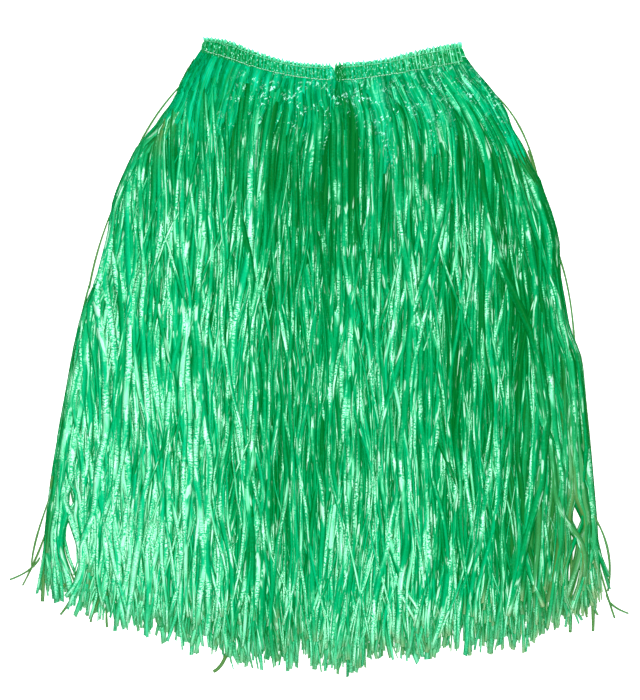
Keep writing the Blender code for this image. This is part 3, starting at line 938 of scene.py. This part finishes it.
class Shader:
    """A material and its Principled shader."""

    def __init__(self, name, **constants):
        self.material = bpy.data.materials.new(name)
        self.material.use_nodes = True
        self.tree = self.material.node_tree
        self.surface = self.tree.nodes["Principled BSDF"]
        for socket, value in constants.items():
            self.surface.inputs[socket.replace("_", " ")].default_value = value

    def node(self, kind, sockets, output=0, **settings):
        """Adds a node, sets it, and feeds its sockets, by number or name, with values or other sockets."""
        made = self.tree.nodes.new(kind)
        for key, value in settings.items():
            setattr(made, key, value)
        for key, value in sockets.items():
            if isinstance(value, Value):
                self.tree.links.new(value.socket, made.inputs[key])
            else:
                made.inputs[key].default_value = value
        return Value(self, made.outputs[output])

    def attribute(self, name):
        """One of the piece's own attributes."""
        return self.node("ShaderNodeAttribute", {}, output="Fac", attribute_name=name)

    def noise(self, x, y, z, detail=2.0, roughness=0.6):
        """Noise at a place that is worked out from the film's own attributes."""
        place = self.node("ShaderNodeCombineXYZ", {0: x, 1: y, 2: z})
        return self.noise_at(place, detail, roughness)

    def noise_at(self, place, detail=2.0, roughness=0.6):
        """Noise at any place, about one wave to a unit."""
        sockets = {"Vector": place, "Scale": 1.0, "Detail": detail, "Roughness": roughness}
        return self.node("ShaderNodeTexNoise", sockets)

    def here(self, scale, angle=0.0):
        """Object coordinates, turned in plan and stretched."""
        place = self.node("ShaderNodeTexCoord", {}, output="Object")
        turned = self.node("ShaderNodeMapping", {"Vector": place, "Rotation": (0, 0, angle)})
        return self.node("ShaderNodeMapping", {"Vector": turned, "Scale": scale})

    def step(self, value, low, high):
        """0 below low, 1 above high and smooth between."""
        sockets = {0: value, 1: low, 2: high}
        return self.node("ShaderNodeMapRange", sockets, interpolation_type="SMOOTHSTEP", clamp=True)

    def mix(self, share, first, second):
        """A mix of two colours."""
        sockets = {0: share, 6: first, 7: second}
        return self.node("ShaderNodeMix", sockets, output=2, data_type="RGBA", clamp_factor=True)

    def bump(self, strength, distance, height):
        return self.node("ShaderNodeBump", {"Strength": strength, "Distance": distance, "Height": height})

    def wear(self, socket, value):
        """Feeds one of the surface's sockets."""
        self.tree.links.new(value.socket, self.surface.inputs[socket])


# ---- Finishes ----

# Deep green is painted shade, mint painted sheen and the glint colours painted glints.
DEEP_GREEN = (0.000, 0.058, 0.010, 1)
GREEN = (0.000, 0.220, 0.080, 1)
LIGHT_GREEN = (0.001, 0.400, 0.190, 1)
MINT = (0.190, 0.740, 0.430, 1)
GLINT = (0.600, 0.940, 0.750, 1)
YOKE_LIGHT = (0.000, 0.460, 0.270, 1)
YOKE_GLINT = (0.460, 0.930, 0.800, 1)
BAND_LIGHT = (0.004, 0.500, 0.370, 1)
OLIVE = (0.100, 0.135, 0.045, 1)  # yellowed film
THIN = (0.100, 0.660, 0.370, 1)  # a single layer over the white floor
TAN = (0.340, 0.480, 0.270, 1)  # cut ends
GLOW = (0.000, 0.300, 0.034, 1)  # light that comes through the film
GLEAM = (0.130, 0.560, 0.330, 1)  # and where it glints
# The thread's colours between turns of its twist and on them are painted shade and painted highlight.
FAINT_THREAD = ((0.06, 0.52, 0.25, 1), (0.22, 0.70, 0.44, 1))  # between turns of its twist, and on them
CLEAR_THREAD = ((0.40, 0.85, 0.62, 1), (0.74, 0.97, 0.86, 1))
CREASE = 0.0006  # how deep the film's crinkles look
YOKE_CREASE = 0.0012


def film_shader(name):
    """Smooth film that glows faintly, for the light that comes through it."""
    return Shader(
        name,
        Roughness=0.3,
        Specular_IOR_Level=0.015,
        Emission_Color=GLOW,
        Emission_Strength=0.42,
    )


def film_colour(shader, tone, pale, glint, light_green=LIGHT_GREEN, nearly_white=GLINT):
    """Green film: deep green as painted shade where strands crowd, mint as painted sheen where they are
    creased, nearly white as painted glints at sharp creases.
    """
    dark = shader.mix(shader.step(tone, 0.04, 0.45), DEEP_GREEN, GREEN)
    light = shader.mix(shader.step(tone, 0.32, 0.90), dark, light_green)
    # painted sheen, then painted glints on top
    with_painted_sheen = shader.mix(pale, light, MINT)
    return shader.mix(glint, with_painted_sheen, nearly_white)


def strand_film():
    """Slit film with crosswise crinkles, with painted sheen in long streaks, painted glints and painted
    shade from bundles, creases and crinkles. Each strand's seed takes it to a pattern of its own, in waves
    per metre along it and waves per half width across it."""
    shader = film_shader("crinkled_strand_film")
    along, across = shader.attribute("along"), shader.attribute("across")
    seed, tone, thin = shader.attribute("seed"), shader.attribute("tone"), shader.attribute("thin")
    cut, age = shader.attribute("cut"), shader.attribute("age")
    # bundles: painted sheen and shade that follow the bundles' tilt
    bundles = shader.noise_at(shader.here((56.0, 11.0, 0.0)), roughness=0.5) - 0.5
    long_streaks = shader.noise(seed * 97.0, along * 18.0, across * 0.5)
    lengthwise_crease_shade = shader.noise(seed * 71.0, along * 26.0, across * 3.4) - 0.5
    # painted shade and sheen along fine lengthwise creases
    packed = along * (seed * 220.0 + 320.0)
    crinkle = shader.noise(seed * 53.0 + across * 1.2, packed, 0.0, detail=1.0)
    fine = shader.noise(seed * 29.0 + across * 1.6, packed * 1.4, 5.0, detail=1.0)
    rumples = shader.noise(seed * 31.0, along * 24.0, 3.0, detail=1.0, roughness=0.5)
    slivers = shader.noise(seed * 41.0, along * 40.0, across * 1.3, detail=0.0, roughness=0.5)
    # sheen: where the film is painted pale in streaks and glints
    sheen = long_streaks + bundles * 0.52 + (tone - 0.38) * 0.34 + lengthwise_crease_shade * 0.30
    flat = 1 - shader.step(across * across, 0.45, 0.95)
    open_film = shader.step(along, 0.035, 0.105) * flat
    crumpled = shader.step(rumples, 0.35, 0.50)
    # painted shade: dark crinkle lines across the pale streaks of the crumpled strands
    cuts = shader.step(crinkle, 0.42, 0.50) * shader.step(fine, 0.36, 0.44)
    ladder = 1 - crumpled * (1 - cuts)
    streak = shader.step(sheen, 0.540, 0.730) * open_film
    # ticks: small painted highlights on the crinkles
    ticks = shader.step(crinkle, 0.68, 0.74) * shader.step(sheen, 0.42, 0.56) * flat
    pale = streak * (0.06 + 0.94 * ladder) + ticks * 0.45
    sharp = shader.step(sheen, 0.60, 0.71) * crumpled * cuts * shader.step(fine, 0.47, 0.53)
    smooth = shader.step(sheen, 0.640, 0.790) * (1 - crumpled)
    # slivers: spindle-shaped painted glints
    sliver = shader.step(slivers, 0.65, 0.71) * shader.step(sheen, 0.44, 0.56)
    glint = (sharp + smooth * 0.3 + sliver * 0.9) * open_film
    # painted shade on the half of each strand that is turned away from the light
    turned_away_shade = across * (seed - 0.5)
    # shade: the tone with painted shade and light from bundles, crinkles, creases and streaks
    shade = tone - 0.03 + bundles * 0.3 + (crinkle - 0.5) * 0.30 + turned_away_shade * 0.30
    shade = shade + (long_streaks - 0.5) * 0.52 + lengthwise_crease_shade * 0.72
    green = film_colour(shader, shade, pale, glint * (0.68 - 0.1 * thin))
    single = shader.mix(thin * (0.35 + 0.65 * ladder), green, THIN)
    shader.wear("Base Color", shader.mix(cut * cut, shader.mix(age, single, OLIVE), TAN))
    # painted light: the glints and the thin tips glow
    shader.wear("Emission Color", shader.mix(glint * 0.5 + thin * 0.25, GLOW, GLEAM))
    shader.wear("Roughness", 0.22 + 0.26 * crinkle)
    shader.wear("Normal", shader.bump(0.5, CREASE, crinkle * 0.6 + fine * 0.4))
    return shader.material


def yoke_film():
    """The same film where it isn't slit: one crinkled cloth with small sharp creases that glint, as painted
    glints, and painted shade and sheen across its folds.
    """
    shader = film_shader("crinkled_yoke_film")
    along, across, seed = shader.attribute("along"), shader.attribute("across"), shader.attribute("seed")
    tone, sparkle = shader.attribute("tone"), shader.attribute("sparkle")
    left_folds = shader.noise_at(shader.here((150.0, 42.0, 0.0), 0.24))
    right_folds = shader.noise_at(shader.here((150.0, 42.0, 0.0), -0.24))
    folds = (left_folds + right_folds) * 0.5
    rising = shader.noise_at(shader.here((400.0, 150.0, 0.0), 0.8))
    falling = shader.noise_at(shader.here((400.0, 150.0, 0.0), -0.6))
    patches = shader.noise_at(shader.here((52.0, 60.0, 0.0)), roughness=0.5)
    pulled = shader.noise(seed * 97.0, along * 26.0, across * 4.5)
    crinkle = shader.noise(seed * 53.0 + across * 1.6, along * 430.0, 0.0, detail=0.0, roughness=0.5)
    where = shader.step(patches, 0.47, 0.58) * sparkle
    # painted sheen: streaks where the film is drawn into strands, and on the folds' crests
    streak = shader.step(pulled, 0.54, 0.62) * shader.attribute("drawn")
    pale = streak * (0.35 + 0.65 * shader.step(crinkle, 0.42, 0.50))
    pale = pale + shader.step(folds, 0.55, 0.66) * where * 0.25
    glint = (shader.step(rising, 0.59, 0.64) + shader.step(falling, 0.61, 0.66)) * where
    # shade: the tone with painted shade and light across the folds and the lengthwise pulls
    shade = tone + 0.10 + (folds - 0.5) * 0.8 + (pulled - 0.5) * 1.2
    shader.wear("Base Color", film_colour(shader, shade, pale, glint, YOKE_LIGHT, YOKE_GLINT))
    # painted light: the glints glow
    shader.wear("Emission Color", shader.mix(glint, GLOW, GLEAM))
    shader.wear("Roughness", 0.18 + 0.22 * folds)
    shader.wear("Normal", shader.bump(0.6, YOKE_CREASE, folds * 0.6 + rising * 0.25 + falling * 0.25))
    return shader.material


def band_film():
    """The film gathered over the elastic: fine upright creases in painted shade and sheen, with long pale
    ones towards the right, which are painted highlights, and painted glints.
    """
    shader = film_shader("gathered_band_film")
    along, up = shader.attribute("along"), shader.attribute("up")
    tone, right, crest_highlight = shader.attribute("tone"), shader.attribute("right"), shader.attribute("crest_highlight")
    upright = shader.noise(along * 760.0, up * 150.0, 0.0)
    streaks = shader.noise(along * 500.0, up * 24.0, 5.0, roughness=0.5)
    flecks = shader.noise(along * 620.0, up * 330.0, 7.0, detail=1.0, roughness=0.5)
    lit = shader.step(streaks, 0.54, 0.64) * right
    # painted sheen: lit streaks on the right, the frill's crests and the upright creases
    pale = lit * 0.75 + crest_highlight * 0.65 + shader.step(upright, 0.54, 0.68) * 0.26
    glint = shader.step(flecks, 0.63, 0.71) * 0.9 + lit * shader.step(upright, 0.52, 0.64) * 0.8
    glint = glint + crest_highlight * shader.step(flecks, 0.50, 0.62) * 0.5
    # shade: the tone with painted shade and light across the upright creases
    shade = tone + 0.12 + (upright - 0.5) * 1.1
    shader.wear("Base Color", film_colour(shader, shade, pale, glint, BAND_LIGHT, YOKE_GLINT))
    shader.wear("Roughness", 0.20 + 0.24 * upright)
    shader.wear("Normal", shader.bump(0.5, CREASE, upright * 0.7 + streaks * 0.3))
    return shader.material


def sewing_thread():
    """Pale thread with a slight twist."""
    shader = Shader("pale_thread", Roughness=0.6, Specular_IOR_Level=0.1)
    along, across = shader.attribute("along"), shader.attribute("across")
    # twist: painted shade between the thread's turns and painted highlight on them
    twist = shader.noise(along * 2600.0, across, 0.0, roughness=0.5)
    faint = shader.mix(twist, *FAINT_THREAD)
    clear = shader.mix(twist, *CLEAR_THREAD)
    shader.wear("Base Color", shader.mix(shader.attribute("tone"), faint, clear))
    return shader.material


# ---- Surroundings ----


def lay_floor():
    """A plain white floor."""
    bpy.ops.object.select_all(action="DESELECT")
    bpy.ops.mesh.primitive_plane_add(size=FLOOR_SIZE, location=(0, 0, FLOOR_LEVEL))
    floor = bpy.context.object
    floor.name = "floor"
    white = Shader("white_floor", Roughness=0.9, Emission_Color=(1, 1, 1, 1), Emission_Strength=0.9)
    white.surface.inputs["Base Color"].default_value = (0.9, 0.9, 0.9, 1)
    floor.data.materials.append(white.material)


def hang_light(name, place, size, power):
    """A soft square lamp that looks at the skirt's middle."""
    lamp = bpy.data.lights.new(name, "AREA")
    lamp.shape = "SQUARE"
    lamp.size = size
    lamp.energy = power
    made = bpy.data.objects.new(name, lamp)
    bpy.context.scene.collection.objects.link(made)
    made.location = place
    tilt = math.atan2(math.hypot(place[0], place[1]), place[2])
    made.rotation_euler = (tilt, 0, math.atan2(place[0], -place[1]))


def light_the_studio():
    """Three soft lamps, and a dim white sky."""
    hang_light("key_light", (-0.9, 1.1, 2.2), 0.5, 60)
    hang_light("side_light", (1.4, 0.4, 1.8), 0.4, 28)
    hang_light("low_light", (0.1, -1.7, 1.5), 0.4, 16)
    world = bpy.data.worlds.new("studio")
    bpy.context.scene.world = world
    world.use_nodes = True
    sky = world.node_tree.nodes["Background"].inputs
    sky["Color"].default_value = (1, 1, 1, 1)
    sky["Strength"].default_value = 0.25


def place_camera():
    """Straight above the skirt's middle."""
    camera = bpy.data.cameras.new("camera")
    camera.lens = LENS
    camera.sensor_width = SENSOR
    made = bpy.data.objects.new("camera", camera)
    made.location = (*VIEW_MIDDLE, VIEW_LENGTH * LENS / SENSOR + VIEW_LEVEL)
    bpy.context.scene.collection.objects.link(made)
    bpy.context.scene.camera = made


def dress(pieces, material):
    """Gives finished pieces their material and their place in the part."""
    for piece in pieces:
        piece.data.materials.append(material)
        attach(piece, "root")


# ---- The skirt in its surroundings ----

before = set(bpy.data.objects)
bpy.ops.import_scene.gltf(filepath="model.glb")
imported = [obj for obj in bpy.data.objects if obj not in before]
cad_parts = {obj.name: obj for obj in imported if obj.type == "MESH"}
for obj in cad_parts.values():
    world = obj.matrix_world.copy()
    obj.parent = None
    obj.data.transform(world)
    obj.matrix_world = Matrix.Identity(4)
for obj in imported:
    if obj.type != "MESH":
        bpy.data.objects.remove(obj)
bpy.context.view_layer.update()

chance = np.random.default_rng(SEED)
clumps = chance.uniform(-1, 1, (len(CLUMP_TRAITS), CLUMPS))
tufts = chance.uniform(-1, 1, TUFTS)
strands = [hang_strands(spec, chance, clumps, tufts) for spec in STRANDS]
strands += [lay_loose_strands(chance), lay_strays(chance)]
yokes = [fold_yoke(spec, chance) for spec in YOKES]
waistband = sew_waistband(chance)
stitches = stitch_rows(chance)

dress(strands, strand_film())
dress(yokes, yoke_film())
dress([waistband], band_film())
dress([stitches], sewing_thread())

lay_floor()
light_the_studio()
place_camera()
bpy.context.scene.view_settings.view_transform = "Standard"
